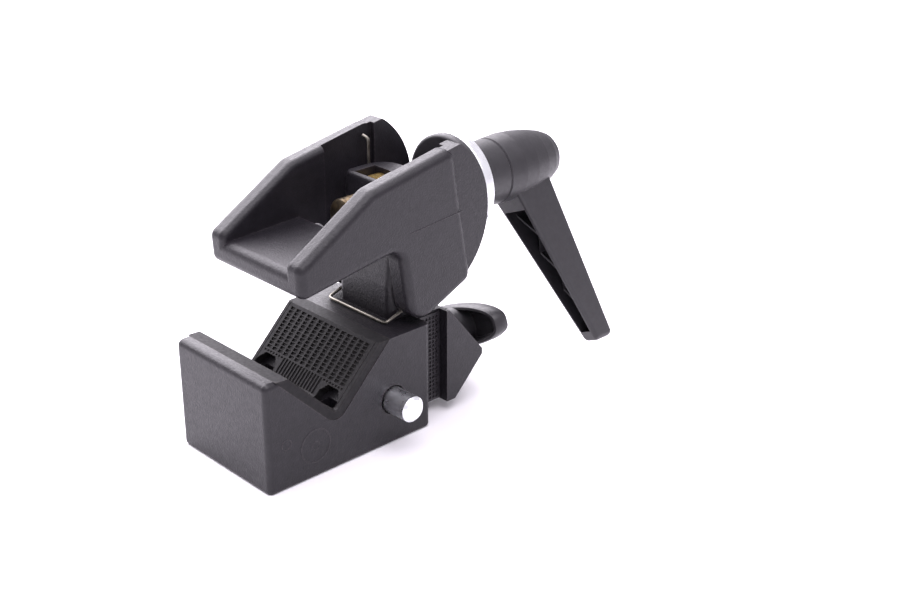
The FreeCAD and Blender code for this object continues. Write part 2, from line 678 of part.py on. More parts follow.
def make_lever_handle():
    """Hub with an internal spline, and a hollow-backed arm that leans away from the clamp."""
    body = new_body("lever_handle")
    hub = new_sketch(body, "hub", "YZ_Plane")
    polygon(hub, [
        ("Sizes.hub_front", 9.6), ("Sizes.hub_front", "Sizes.hub_radius"),
        (113.6, "Sizes.hub_radius"), (114.0, "Sizes.hub_radius - 0.4"), (114.4, "Sizes.hub_radius + 0.2"),
        (121.0, "Sizes.hub_radius + 0.6"), (127.0, "Sizes.hub_radius + 0.2"), (133.0, 10.6), (138.0, 9.3),
        ("Sizes.hub_rear", "Sizes.hub_rear_radius"),
        ("Sizes.hub_rear", 6.0), (116.2, 6.0), (116.2, 3.4), (114.0, 3.4), (114.0, 8.8),
        (103.0, 8.8), (103.0, 9.6),
    ])
    revolve(body, hub)
    root = new_sketch(body, "arm_root", "XY_Plane", -7)
    rectangle(root, 7.1, 117.4, 134.9)
    tip = new_sketch(body, "arm_tip", "XY_Plane", -69)
    rectangle(tip, 3.4, 140.5, 149.2)
    arm = body.newObject("PartDesign::AdditiveLoft", "lever_arm")
    arm.Profile = root
    arm.Sections = [tip]
    arm.Ruled = True
    doc.recompute()
    fillet(body, 2.0, lambda m, d, e: near(m.z, -69))
    fillet(body, 1.4, lambda m, d, e: m.z < -20 and abs(d.z) > 0.8)
    hollow_root = new_sketch(body, "hollow_root", "XY_Plane", -16)
    rectangle(hollow_root, 5.1, 118.0, 133.0)
    hollow_tip = new_sketch(body, "hollow_tip", "XY_Plane", -65)
    rectangle(hollow_tip, 2.2, 136.0, 145.2)
    hollow = body.newObject("PartDesign::SubtractiveLoft", "lever_hollow")
    hollow.Profile = hollow_root
    hollow.Sections = [hollow_tip]
    hollow.Ruled = True
    doc.recompute()
    rib = new_sketch(body, "rib", "XZ_Plane", -107.0)
    polygon(rib, [(-1.0, 9.2), (1.0, 9.2), (0.75, 7.65), (-0.75, 7.65)])
    ribs = pad(body, rib, 3.8)
    pattern = body.newObject("PartDesign::PolarPattern", "lever_ribs")
    pattern.Originals = [ribs]
    pattern.Axis = (rib, ["N_Axis"])
    pattern.Angle = 360
    pattern.setExpression("Occurrences", "Sizes.spline_count")
    body.Tip = pattern
    doc.recompute()
    turned_frame(body, size("lever_angle"))
    return body


def make_lever_cap():
    """Domed plug over the retaining screw."""
    body = new_body("lever_cap")
    outline = new_sketch(body, "outline", "YZ_Plane")
    polygon(outline, [
        (136.0, 0), (136.0, 5.9), ("Sizes.hub_rear", 5.9), ("Sizes.hub_rear", "Sizes.hub_rear_radius"),
        (142.4, 6.7), (143.4, 4.8), (144.0, 2.6), (144.2, 0),
    ])
    revolve(body, outline)
    turned_frame(body, size("lever_angle"))
    return body


# ---------------------------------------------------------------- stud locks


def make_lock_button():
    """Plated cross pin with a waist that lets the stud pass while it is pressed."""
    body = new_body("lock_button_pin")
    outline = new_sketch(body, "outline", "XY_Plane")
    face = "(Sizes.jaw_width / 2 + Sizes.button_stand)"
    waist_in = "(Sizes.button_travel - 5.6)"
    waist_out = "(Sizes.button_travel + 5.6)"
    polygon(outline, [
        (-6, 0), (-6, "Sizes.button_radius"), (waist_in, "Sizes.button_radius"),
        (waist_in, "Sizes.button_waist_radius"), (waist_out, "Sizes.button_waist_radius"),
        (waist_out, "Sizes.button_radius"), (f"{face} - 0.9", "Sizes.button_radius"),
        (face, "Sizes.button_radius - 0.9"), (face, 0),
    ])
    revolve(body, outline)
    body.setExpression("Placement.Base.y", "-Sizes.socket_setback + Sizes.button_y")
    body.setExpression("Placement.Base.z", "Sizes.button_z")
    return body


def make_stud_pad():
    """Round shoe that the knob's screw drives against the stud."""
    shoe = cylinder("stud_pressure_pad", "Sizes.stud_pad_radius", 4, (0, 69.0, size("knob_z")), (0, 1, 0))
    shoe.Label = "stud_pressure_pad"
    return shoe


def make_knob_screw():
    body = new_body("wing_knob_screw")
    outline = new_sketch(body, "outline", "YZ_Plane")
    polygon(outline, [(73.1, 0), (73.1, 3.2), (74.0, "Sizes.knob_screw_radius"),
                      (98.0, "Sizes.knob_screw_radius"), (98.0, 0)])
    revolve(body, outline)
    body.setExpression("Placement.Base.z", "Sizes.knob_z")
    return body


def make_wing_knob():
    """Two-winged knob moulded over the knob's screw."""
    body = new_body("wing_knob")
    wing = new_sketch(body, "wing", "XZ_Plane", -98.0)
    polygon(wing, [(-22, -2.5), (-18, -4.8), (-7, -7.5), (7, -7.5), (18, -4.8), (22, -2.5),
                   (22, 2.5), (18, 4.8), (7, 7.5), (-7, 7.5), (-18, 4.8), (-22, 2.5)])
    pad(body, wing, 6.5, flip=True)
    fillet(body, 1.2, lambda m, d, e: near(m.y, 98) or near(m.y, 104.5))
    hub = new_sketch(body, "hub", "YZ_Plane")
    polygon(hub, [(88.0, 3.0), (88.0, 7.0), (100.0, 7.0), (100.0, 3.0)])
    revolve(body, hub)
    bore = new_sketch(body, "bore", "XZ_Plane", -80)
    circle(bore, 0, 0, "Sizes.knob_screw_radius")
    pocket(body, bore, 18)
    body.Placement = Placement(Vector(0, 0, 0), Rotation(Vector(0, 1, 0), -21))
    body.setExpression("Placement.Base.y", "-Sizes.socket_setback")
    body.setExpression("Placement.Base.z", "Sizes.knob_z")
    return body


parts = [
    make_lower_jaw_body(), make_lower_jaw_pad(), make_screw_nut(), make_button_stop_pin(), make_knob_bush(),
    make_upper_jaw(), make_upper_jaw_pad(), make_pivot_pin(), make_jaw_spring(),
    make_thrust_disc(), make_thrust_washer(), make_clamp_screw(), make_retaining_screw(),
    make_lever_handle(), make_lever_cap(), make_lever_spring(),
    make_lock_button(), make_button_spring(), make_stud_pad(), make_knob_screw(), make_wing_knob(),
]
doc.recompute()

for item in doc.Objects:
    if "Invalid" in item.State or "Error" in item.State:
        raise RuntimeError(f"{item.Name} is {item.State}")
for item in parts:
    if item.Shape.isNull() or not item.Shape.isValid():
        raise RuntimeError(f"{item.Label} has no valid shape")

os.makedirs("parts", exist_ok=True)
for item in parts:
    item.Shape.exportStep(f"parts/{item.Label}.step")
    box = item.Shape.BoundBox
    print(f"{item.Label:22s} {len(item.Shape.Solids)} solid, {item.Shape.Volume / 1000:8.3f} cm3,"
          f" Y {box.YMin:6.1f} {box.YMax:6.1f}, Z {box.ZMin:6.1f} {box.ZMax:6.1f}")
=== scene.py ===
"""Looks of the super clamp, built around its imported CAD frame."""

import json
import math

import bpy
from mathutils import Matrix, Vector


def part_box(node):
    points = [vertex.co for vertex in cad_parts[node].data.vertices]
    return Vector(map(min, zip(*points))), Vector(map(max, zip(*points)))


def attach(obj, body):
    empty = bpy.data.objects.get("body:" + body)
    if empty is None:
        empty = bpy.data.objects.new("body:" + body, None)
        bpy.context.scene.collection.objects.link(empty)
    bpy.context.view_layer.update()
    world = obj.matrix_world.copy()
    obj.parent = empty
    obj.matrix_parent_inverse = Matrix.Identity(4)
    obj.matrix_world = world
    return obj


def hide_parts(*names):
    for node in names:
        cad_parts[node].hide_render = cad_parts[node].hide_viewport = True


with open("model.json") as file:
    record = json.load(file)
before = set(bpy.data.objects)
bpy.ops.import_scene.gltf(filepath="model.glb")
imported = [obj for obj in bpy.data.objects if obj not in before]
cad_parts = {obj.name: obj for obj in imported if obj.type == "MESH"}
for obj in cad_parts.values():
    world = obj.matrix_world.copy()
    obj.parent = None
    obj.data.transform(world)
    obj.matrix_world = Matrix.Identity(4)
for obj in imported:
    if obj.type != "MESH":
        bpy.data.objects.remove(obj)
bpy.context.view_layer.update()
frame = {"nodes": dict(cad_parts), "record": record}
nodes = frame["nodes"]

MM = 0.001
BODY_LOW, BODY_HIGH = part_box("lower_jaw_body")
LIP_Y = BODY_LOW.y


def spot(x, y, z):
    """A point in millimetres, with Y measured from the front lip, as metres in the frame."""
    return Vector((x * MM, LIP_Y + y * MM, z * MM))


def axis_of(joint_name):
    """Y from the front lip and Z of a hinge's axis, in millimetres."""
    joints = frame["record"]["behaviour"]["joints"]
    place = next(joint["pos_m"] for joint in joints if joint["name"] == joint_name)
    return (place[1] - LIP_Y) / MM, place[2] / MM


PIVOT_Y, PIVOT_Z = axis_of("jaw_pivot")
SCREW_Z = axis_of("handle_spin")[1]
KNOB_Z = axis_of("knob_spin")[1]


# ---------------------------------------------------------------- materials


class Nodes:
    """Short calls for building one material's nodes."""

    def __init__(self, name):
        self.material = bpy.data.materials.new(name)
        self.material.use_nodes = True
        self.tree = self.material.node_tree
        self.shader = self.tree.nodes["Principled BSDF"]
        self.place = self.add("ShaderNodeTexCoord").outputs["Object"]

    def add(self, kind, **values):
        node = self.tree.nodes.new(kind)
        for key, value in values.items():
            setattr(node, key, value)
        return node

    def link(self, source, target):
        self.tree.links.new(source, target)

    def noise(self, scale, detail, stretch=(1, 1, 1)):
        """Noise over the piece, with scale in features per metre."""
        mapping = self.add("ShaderNodeMapping")
        mapping.inputs["Scale"].default_value = stretch
        self.link(self.place, mapping.inputs["Vector"])
        noise = self.add("ShaderNodeTexNoise")
        noise.inputs["Scale"].default_value = scale
        noise.inputs["Detail"].default_value = detail
        self.link(mapping.outputs["Vector"], noise.inputs["Vector"])
        return noise.outputs["Fac"]

    def remap(self, value, low, high, to_low=0.0, to_high=1.0):
        node = self.add("ShaderNodeMapRange")
        for key, number in (("From Min", low), ("From Max", high), ("To Min", to_low), ("To Max", to_high)):
            node.inputs[key].default_value = number
        self.link(value, node.inputs["Value"])
        return node.outputs["Result"]

    def multiply(self, first, second):
        """Product of two values, each a number or a socket."""
        node = self.add("ShaderNodeMath", operation="MULTIPLY")
        for socket, value in zip(node.inputs, (first, second)):
            if isinstance(value, (int, float)):
                socket.default_value = value
            else:
                self.link(value, socket)
        return node.outputs["Value"]

    def mix(self, factor, first, second):
        """Mix of two colours, each a triple or a socket."""
        node = self.add("ShaderNodeMix", data_type="RGBA")
        self.link(factor, node.inputs["Factor"])
        for key, value in (("A", first), ("B", second)):
            socket = next(s for s in node.inputs if s.name == key and s.type == "RGBA")
            if isinstance(value, tuple):
                socket.default_value = (*value, 1)
            else:
                self.link(value, socket)
        return next(s for s in node.outputs if s.type == "RGBA")

    def edges(self, reach):
        """A mask that is 1 along outside edges, found by comparing rounded and true normals."""
        bevel = self.add("ShaderNodeBevel", samples=6)
        bevel.inputs["Radius"].default_value = reach
        true = self.add("ShaderNodeNewGeometry").outputs["Normal"]
        dot = self.add("ShaderNodeVectorMath", operation="DOT_PRODUCT")
        self.link(bevel.outputs["Normal"], dot.inputs[0])
        self.link(true, dot.inputs[1])
        return self.remap(dot.outputs["Value"], 0.995, 0.90)

    def bump(self, height, distance, strength, under=None):
        node = self.add("ShaderNodeBump")
        node.inputs["Strength"].default_value = strength
        node.inputs["Distance"].default_value = distance
        self.link(height, node.inputs["Height"])
        if under is not None:
            self.link(under, node.inputs["Normal"])
        return node.outputs["Normal"]


def coated(name, dark, light, scuff_and_highlight, rough, grain, depth, wear_and_highlight, shine):
    """Black coat or moulding: mottled tone, fine grain, and edges painted lighter, partly as rubbed wear and
    partly as a painted highlight.
    """
    n = Nodes(name)
    mottle = n.remap(n.noise(420, 6), 0.25, 0.75)
    tone = n.mix(mottle, dark, light)
    patches = n.remap(n.noise(1500, 4), 0.38, 0.66)
    # lighter colour along outside edges: rubbed wear plus a painted highlight where the edges would catch the
    # light
    rubbed_and_highlit = n.multiply(n.multiply(n.edges(0.9 * MM), patches), wear_and_highlight)
    n.link(n.mix(rubbed_and_highlit, tone, scuff_and_highlight), n.shader.inputs["Base Color"])
    n.link(n.remap(n.noise(900, 4), 0.3, 0.7, rough - 0.05, rough + 0.07), n.shader.inputs["Roughness"])
    soft = n.bump(n.noise(grain * 0.3, 2), depth * 1.6, 0.2)
    n.link(n.bump(n.noise(grain, 4), depth, 0.8, soft), n.shader.inputs["Normal"])
    n.shader.inputs["Specular IOR Level"].default_value = shine
    return n.material


def metal(name, dark, light, rough, stretch, grain, depth):
    """Bare or plated metal, with marks that lie across the direction of the larger scale in stretch."""
    n = Nodes(name)
    lines = n.noise(grain, 4, stretch)
    n.link(n.mix(n.remap(n.noise(300, 4), 0.3, 0.7), dark, light), n.shader.inputs["Base Color"])
    n.link(n.remap(lines, 0.3, 0.7, rough - 0.06, rough + 0.1), n.shader.inputs["Roughness"])
    n.link(n.bump(lines, depth, 0.6), n.shader.inputs["Normal"])
    n.shader.inputs["Metallic"].default_value = 1.0
    return n.material


# each coat's edge colour and its amount stand for rubbed wear and also for a painted highlight along the
# edges
SLOT_LOOKS = {
    "cast_black": coated(
        "cast_black", dark=(0.0085, 0.0075, 0.0100), light=(0.0135, 0.0120, 0.0155), scuff_and_highlight=(0.14, 0.12, 0.13),
        rough=0.40, grain=1700, depth=0.15 * MM, wear_and_highlight=0.22, shine=0.36),
    "pad_black": coated(
        "liner_black", dark=(0.009, 0.0085, 0.0095), light=(0.014, 0.013, 0.0145), scuff_and_highlight=(0.10, 0.085, 0.07),
        rough=0.60, grain=1100, depth=0.03 * MM, wear_and_highlight=0.15, shine=0.22),
    "moulded_black": coated(
        "moulded_black", dark=(0.014, 0.013, 0.0155), light=(0.020, 0.0185, 0.022), scuff_and_highlight=(0.08, 0.075, 0.08),
        rough=0.43, grain=2400, depth=0.02 * MM, wear_and_highlight=0.3, shine=0.5),
    "zinc": metal(
        "zinc_plate", dark=(0.90, 0.92, 0.95), light=(0.95, 0.96, 0.98),
        rough=0.28, stretch=(1, 1, 1), grain=260, depth=0.004 * MM),
    "steel": metal(
        "turned_steel", dark=(0.03, 0.027, 0.022), light=(0.16, 0.12, 0.07),
        rough=0.42, stretch=(1, 9, 1), grain=500, depth=0.012 * MM),
    "spring_steel": metal(
        "drawn_wire", dark=(0.16, 0.15, 0.13), light=(0.32, 0.30, 0.26),
        rough=0.34, stretch=(1, 1, 1), grain=2500, depth=0.008 * MM),
    "brass": metal(
        "turned_brass", dark=(0.30, 0.20, 0.06), light=(0.52, 0.37, 0.14),
        rough=0.30, stretch=(9, 1, 9), grain=500, depth=0.015 * MM),
}


def dress_nodes():
    """Give every CAD node the look of its record slot."""
    for part in frame["record"]["subparts"]:
        node = nodes[part["node"]]
        for material_slot in node.material_slots:
            material_slot.material = SLOT_LOOKS[part["material_slot"]]


# ---------------------------------------------------------------- mesh helpers


def piece(name, vertices, faces, body, slot, smooth_under=35):
    """A mesh piece that rides on a body and takes its finish from a record slot."""
    mesh = bpy.data.meshes.new(name)
    mesh.from_pydata([tuple(v) for v in vertices], [], faces)
    mesh.materials.append(SLOT_LOOKS[slot])
    mesh.validate()
    obj = bpy.data.objects.new(name, mesh)
    bpy.context.scene.collection.objects.link(obj)
    mesh.shade_smooth()
    mesh.set_sharp_from_angle(angle=math.radians(smooth_under))
    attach(obj, body)
    return obj


def joined(parts):
    """Several (vertices, faces) pairs as one."""
    vertices, faces = [], []
    for more_vertices, more_faces in parts:
        base = len(vertices)
        vertices += more_vertices
        faces += [[base + i for i in face] for face in more_faces]
    return vertices, faces


def sheet_solid(top, bottom, rows, columns, keep=lambda row, column: True):
    """Closed solid between two grids of points, with side walls wherever a cell is left out."""
    vertices = top + bottom
    count = rows * columns
    faces = []
    borders = {}
    for r in range(rows - 1):
        for c in range(columns - 1):
            if not keep(r, c):
                continue
            ring = [r * columns + c, r * columns + c + 1, (r + 1) * columns + c + 1, (r + 1) * columns + c]
            faces.append(ring)
            faces.append([count + i for i in reversed(ring)])
            for a, b in zip(ring, ring[1:] + ring[:1]):
                if (b, a) in borders:
                    del borders[(b, a)]
                else:
                    borders[(a, b)] = True
    for a, b in borders:
        faces.append([b, a, count + a, count + b])
    return vertices, faces


def recess_stations(start, pitch, count, cut, wall):
    """Stations across a row of recesses, each (place, 0 at the top or 1 at the floor)."""
    stations = []
    for k in range(count):
        middle = start + pitch * (k + 0.5)
        for offset, deep in ((-cut / 2 - wall, 0), (-cut / 2, 1), (cut / 2, 1), (cut / 2 + wall, 0)):
            stations.append((middle + offset, deep))
    return stations


def skin(rings, sides):
    """Faces over a stack of rings of points, closed by a flat face at each end."""
    faces = []
    for row in range(rings - 1):
        for k in range(sides):
            a, b = row * sides + k, row * sides + (k + 1) % sides
            faces.append([a, b, b + sides, a + sides])
    faces.append(list(reversed(range(sides))))
    last = (rings - 1) * sides
    faces.append([last + k for k in range(sides)])
    return faces


def lathe(profile, sides, centre, wobble=None):
    """Points and faces of a shape turned about a line along Y. Profile holds (Y, radius) in mm."""
    vertices = []
    for y, radius in profile:
        for k in range(sides):
            turn = 2 * math.pi * k / sides
            r = radius + (wobble(y, turn) if wobble else 0)
            vertices.append(spot(centre[0] + r * math.sin(turn), y, centre[1] + r * math.cos(turn)))
    return vertices, skin(len(profile), sides)


def rounded(points, radius):
    """The same path with each corner replaced by a short curve."""
    steps = 7
    path = [points[0]]
    for before, corner, after in zip(points, points[1:], points[2:]):
        cut = min(radius, (corner - before).length / 2.2, (after - corner).length / 2.2)
        start = corner + (before - corner).normalized() * cut
        end = corner + (after - corner).normalized() * cut
        for k in range(steps + 1):
            f = k / steps
            path.append(start * (1 - f) ** 2 + corner * 2 * f * (1 - f) + end * f * f)
    return path + [points[-1]]


def tube(path, radius, sides=14):
    """Points and faces of a round wire along a path, with slightly rounded ends."""
    end_share, end_push = 0.55, 0.35
    side = (path[1] - path[0]).orthogonal().normalized()
    vertices = []
    last = len(path) - 1
    stations = [(0, end_share, -end_push)] + [(i, 1.0, 0.0) for i in range(len(path))]
    stations.append((last, end_share, end_push))
    for i, share, push in stations:
        along = (path[min(i + 1, last)] - path[max(i - 1, 0)]).normalized()
        side = (side - along * side.dot(along)).normalized()
        other = along.cross(side)
        for k in range(sides):
            turn = 2 * math.pi * k / sides
            ring = side * math.cos(turn) + other * math.sin(turn)
            vertices.append(path[i] + along * (radius * push) + ring * radius * share)
    return vertices, skin(len(stations), sides)


# ---------------------------------------------------------------- lower jaw liner

# the V's section, in mm: its inner and outer apex heights, with the rounds there
APEX_Y = 26.45
LINER_INNER_Z = 19.23
LINER_INNER_ROUND = 1.6
LINER_OUTER_Z = 14.85
LINER_OUTER_ROUND = 4.7
LINER_TOP = 37.0
LINER_HALF = 22.85
EDGE_SINK = 0.25

# a fine line that sets the side rims off from the pattern
RIM_LINE = 21.3
RIM_LINE_DEPTH = 0.3
RIM = (20.5, 20.8, 21.0, 21.15, RIM_LINE, 21.45, 22.6, LINER_HALF)

DIMPLE_DEPTH = 0.5
DIMPLES_FROM, DIMPLE_PITCH, DIMPLE_ROWS, DIMPLE_CUT, DIMPLE_WALL = 7.9, 1.32, 12, 0.86, 0.1
GROOVE_DEPTH = 0.35
GROOVE_STEP = 0.3
GROOVE_ROWS = 20

COLUMN_PITCH = 2.9
COLUMN_COUNT = 14
# one repeat across the liner: offset, 1 inside a dimple, 1 inside a groove
CELL = [(0.25, 0, 0), (0.35, 0, 1), (0.40, 0, 1), (0.50, 1, 1), (1.10, 1, 1), (1.20, 1, 0),
        (1.70, 1, 0), (1.80, 1, 1), (2.40, 1, 1), (2.50, 0, 1), (2.55, 0, 1), (2.65, 0, 0)]

# outline of the peg window on the near side, in (X, Y), and the plain area round it
WINDOW = [(11.0, 26.5), (11.6, 29.2), (13.6, 31.0), (18.6, 31.0), (21.0, 28.8), (21.0, 26.5)]
PLAIN_FROM_X = 10.4
PLAIN_TO_ARM = 6.7


def seat_point(x, s, apex_z, bend, stretch, sink):
    """A point of the V at arm distance s from its apex, sunk below the surface by a depth."""
    side = 1 if s >= 0 else -1
    reach = min(abs(s) / LINER_INNER_ROUND, 1.0)
    turn = reach * math.pi / 4
    centre_z = apex_z + bend * math.sqrt(2)
    y = bend * math.sin(turn)
    z = centre_z - bend * math.cos(turn)
    beyond = max(abs(s) - LINER_INNER_ROUND, 0) * stretch / math.sqrt(2)
    down = Vector((0, math.sin(turn) * side, -math.cos(turn)))
    return spot(x, APEX_Y + side * (y + beyond), z + beyond) + down * sink * MM


def inner_point(x, s, sink=0):
    """A point of the liner's inner face."""
    return seat_point(x, s, LINER_INNER_Z, LINER_INNER_ROUND, 1.0, sink)


def in_window(x, y):
    """True inside a peg window, on either side of the middle."""
    x = abs(x)
    inside = False
    for (x1, y1), (x2, y2) in zip(WINDOW, WINDOW[1:] + WINDOW[:1]):
        if (y1 > y) != (y2 > y) and x < (x2 - x1) * (y - y1) / (y2 - y1) + x1:
            inside = not inside
    return inside


def arm_stations(arm):
    """Stations up one arm of the V, each (distance, 1 in a row of dimples, 1 where grooves run)."""
    grooves_end = LINER_INNER_ROUND + GROOVE_STEP * (GROOVE_ROWS - 1)
    stations = [(GROOVE_STEP * k, 0, 0) for k in range(5)] + [(LINER_INNER_ROUND - 0.15, 0, 0)]
    stations += [(LINER_INNER_ROUND + GROOVE_STEP * k, 0, 1) for k in range(GROOVE_ROWS)]
    stations += [(grooves_end + 0.15, 0, 0), (grooves_end + 0.4, 0, 0)]
    dimples = recess_stations(DIMPLES_FROM, DIMPLE_PITCH, DIMPLE_ROWS, DIMPLE_CUT, DIMPLE_WALL)
    stations += [(s, deep, 0) for s, deep in dimples]
    return stations + [(24.2, 0, 0), (arm - 0.35, 0, 0), (arm, 0, 0)]


def make_liner():
    """V liner with dimples, grooves, side rims and two windows."""
    arm = (LINER_TOP - LINER_INNER_Z) * math.sqrt(2)
    outer_arm = (LINER_TOP - LINER_OUTER_Z) * math.sqrt(2)
    stretch = (outer_arm - LINER_OUTER_ROUND) / (arm - LINER_INNER_ROUND)
    first = -COLUMN_PITCH * COLUMN_COUNT / 2
    columns = [(-x, 0, 0) for x in reversed(RIM)]
    for k in range(COLUMN_COUNT):
        columns += [(first + COLUMN_PITCH * k + offset, dimple, groove) for offset, dimple, groove in CELL]
    columns += [(x, 0, 0) for x in RIM]
    up = arm_stations(arm)
    rows = [(-s, dimple, groove) for s, dimple, groove in reversed(up[1:])] + up

    top, bottom = [], []
    for s, dimple, groove in rows:
        for x, in_dimple, in_groove in columns:
            sink = DIMPLE_DEPTH * dimple * in_dimple + GROOVE_DEPTH * groove * in_groove
            if abs(x) > PLAIN_FROM_X and 0 < s < PLAIN_TO_ARM:
                sink = 0
            if abs(x) == RIM_LINE:
                sink = RIM_LINE_DEPTH
            if abs(x) >= LINER_HALF or abs(s) >= arm:
                sink = EDGE_SINK
            top.append(inner_point(x, s, sink))
            bottom.append(seat_point(x, s, LINER_OUTER_Z, LINER_OUTER_ROUND, stretch, 0))

    def keep(row, column):
        s = (rows[row][0] + rows[row + 1][0]) / 2
        x = (columns[column][0] + columns[column + 1][0]) / 2
        return not in_window(x, (inner_point(x, s).y - LIP_Y) / MM)

    solid = sheet_solid(top, bottom, len(rows), len(columns), keep)
    liner = piece("jaw_liner", *solid, "lower_jaw", "pad_black", 25)
    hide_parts("lower_jaw_pad")


# ---------------------------------------------------------------- casting details

NECK_HALF = 16.0
PANEL_Y = (65.8, 75.6)
PANEL_Z = (4.6, 36.2)
PANEL_PITCH, PANEL_CUT, PANEL_WALL = 1.45, 0.85, 0.1
PANEL_STAND, PANEL_DIMPLE, PANEL_ROOT = 0.55, 0.45, 0.2

MARK_ROOT = 0.3
CHEEK_HALF = 23.0
CASTING_LINE = ((57.7, 69.7), (79.4, 71.7))
CASTING_LINE_RADIUS = 0.2


def make_neck_grids():
    """Fine dimpled panels on both sides of the neck, between the block and the tail."""
    rows = [(PANEL_Z[0], 0)]
    rows += recess_stations(PANEL_Z[0] + 0.4, PANEL_PITCH, 21, PANEL_CUT, PANEL_WALL) + [(PANEL_Z[1], 0)]
    columns = [(PANEL_Y[0], 0)]
    columns += recess_stations(PANEL_Y[0] + 0.3, PANEL_PITCH, 6, PANEL_CUT, PANEL_WALL) + [(PANEL_Y[1], 0)]
    for side, name in ((1, "neck_grid_near"), (-1, "neck_grid_far")):
        top, bottom = [], []
        for z, low in rows:
            for y, cut in columns:
                top.append(spot(side * (NECK_HALF + PANEL_STAND - PANEL_DIMPLE * low * cut), y, z))
                bottom.append(spot(side * (NECK_HALF - PANEL_ROOT), y, z))
        solid = sheet_solid(top, bottom, len(rows), len(columns))
        piece(name, *solid, "lower_jaw", "cast_black", 25)


def ring_on_side(y, z, radius, width, lift):
    """A low raised ring on the block's near side, rooted inside it."""
    sides = 56
    face = BODY_HIGH.x / MM
    root, shoulder = face - MARK_ROOT, face + lift * 0.5
    section = [(radius - width, root), (radius - width, shoulder), (radius - width / 2, face + lift),
               (radius, shoulder), (radius, root)]
    vertices, faces = [], []
    for k in range(sides):
        turn = 2 * math.pi * k / sides
        for r, x in section:
            vertices.append(spot(x, y + r * math.cos(turn), z + r * math.sin(turn)))
    count = len(section)
    for k in range(sides):
        after = (k + 1) % sides
        for i in range(count):
            j = (i + 1) % count
            faces.append([k * count + i, k * count + j, after * count + j, after * count + i])
    return vertices, faces


def make_side_marks():
    """Plain ejector and core marks of the die, with nothing written in them, and a casting line."""
    rings = [ring_on_side(18.0, 10.9, 5.8, 0.5, 0.14), ring_on_side(18.0, 10.9, 1.6, 0.4, 0.10),
             ring_on_side(7.0, 15.4, 1.9, 0.4, 0.10)]
    piece("side_die_marks", *joined(rings), "lower_jaw", "cast_black")
    path = [spot(CHEEK_HALF - 0.08, y, z) for y, z in CASTING_LINE]
    line = tube(path, CASTING_LINE_RADIUS * MM, 8)
    piece("cheek_casting_line", *line, "upper_jaw", "cast_black")


# ---------------------------------------------------------------- wire spring

WIRE_RADIUS = 0.55
COIL_RADIUS = 6.2
COIL_X = 14.3
COIL_WIDTH = 0.575
COIL_START, COIL_SWEEP = math.radians(-98), math.radians(352)
BAIL_FOOT_Y, BAIL_FOOT_Z = 54.3, 37.65
BAIL_ROUND = 1.6
ARM_X = 14.9
ARM_SETBACK = 8.3
ARM_BEND_RISE = 10
ARM_RISE = 41.2
ARM_ROUND = 1.0


def make_spring():
    """Bail and coils that stay on the lower jaw, and arms that swing with the upper jaw."""
    turns = 40
    pieces = []
    path = []
    for sign in (-1, 1):
        ring = []
        for k in range(turns + 1):
            turn = COIL_START - COIL_SWEEP * k / turns
            ring.append(spot(sign * (COIL_X + COIL_WIDTH * k / turns), PIVOT_Y + COIL_RADIUS * math.cos(turn),
                             PIVOT_Z + COIL_RADIUS * math.sin(turn)))
        pieces.append(tube(ring, WIRE_RADIUS * MM))
        low = spot(sign * COIL_X, PIVOT_Y - 1.2, PIVOT_Z - COIL_RADIUS)
        corner = spot(sign * COIL_X, BAIL_FOOT_Y, BAIL_FOOT_Z)
        path += [low, corner] if sign < 0 else [corner, low]
    pieces.append(tube(rounded(path, BAIL_ROUND * MM), WIRE_RADIUS * MM))
    bail = piece("spring_bail", *joined(pieces), "lower_jaw", "spring_steel")
    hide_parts("jaw_spring")
    arms = []
    for sign in (-1, 1):
        low = spot(sign * ARM_X, PIVOT_Y + COIL_RADIUS, PIVOT_Z)
        bend = spot(sign * ARM_X, PIVOT_Y + ARM_SETBACK, PIVOT_Z + ARM_BEND_RISE)
        high = spot(sign * ARM_X, PIVOT_Y + ARM_SETBACK, PIVOT_Z + ARM_RISE)
        hook = high + Vector((sign * 1.6, -1.0, 1.0)) * MM
        arms.append(tube(rounded([low, bend, high, hook], ARM_ROUND * MM), WIRE_RADIUS * MM))
    piece("spring_arms", *joined(arms), "upper_jaw", "spring_steel")


# ---------------------------------------------------------------- clamping screw

LEVER_TURN = -22.5

# places along the screw, from the front lip, in mm
TIP = 48.5
THREAD_START, THREAD_END = 49.5, 96.0
FLANGE_FRONT, FLANGE_REAR = 99.9, 102.6
SPLINE_START, SPLINE_END = 102.8, 106.8
SCREW_END = 112.6

THREAD_PITCH = 2.0
THREAD_DEPTH = 0.62
THREAD_STEP = 0.25
SCREW_RADIUS = 6.0
FLANGE_RADIUS = 9.2
FLANGE_CHAMFER = 0.2
SPLINE_ROOT = 7.4
SPLINE_HEIGHT = 0.9
SPLINE_TEETH = 12
SPLINE_TURN = math.radians(LEVER_TURN + 180 / SPLINE_TEETH)
AXIS_RADIUS = 0.01


def screw_relief(y, turn):
    """How far the screw's surface stands out from its profile, for the thread and the spline."""
    if SPLINE_START <= y <= SPLINE_END:
        return SPLINE_HEIGHT * max(0.0, math.cos(SPLINE_TEETH * (turn - SPLINE_TURN))) ** 0.6
    if y < THREAD_START or y > THREAD_END:
        return 0.0
    phase = (y / THREAD_PITCH - turn / (2 * math.pi)) % 1.0
    return -THREAD_DEPTH * (1 - abs(2 * phase - 1))


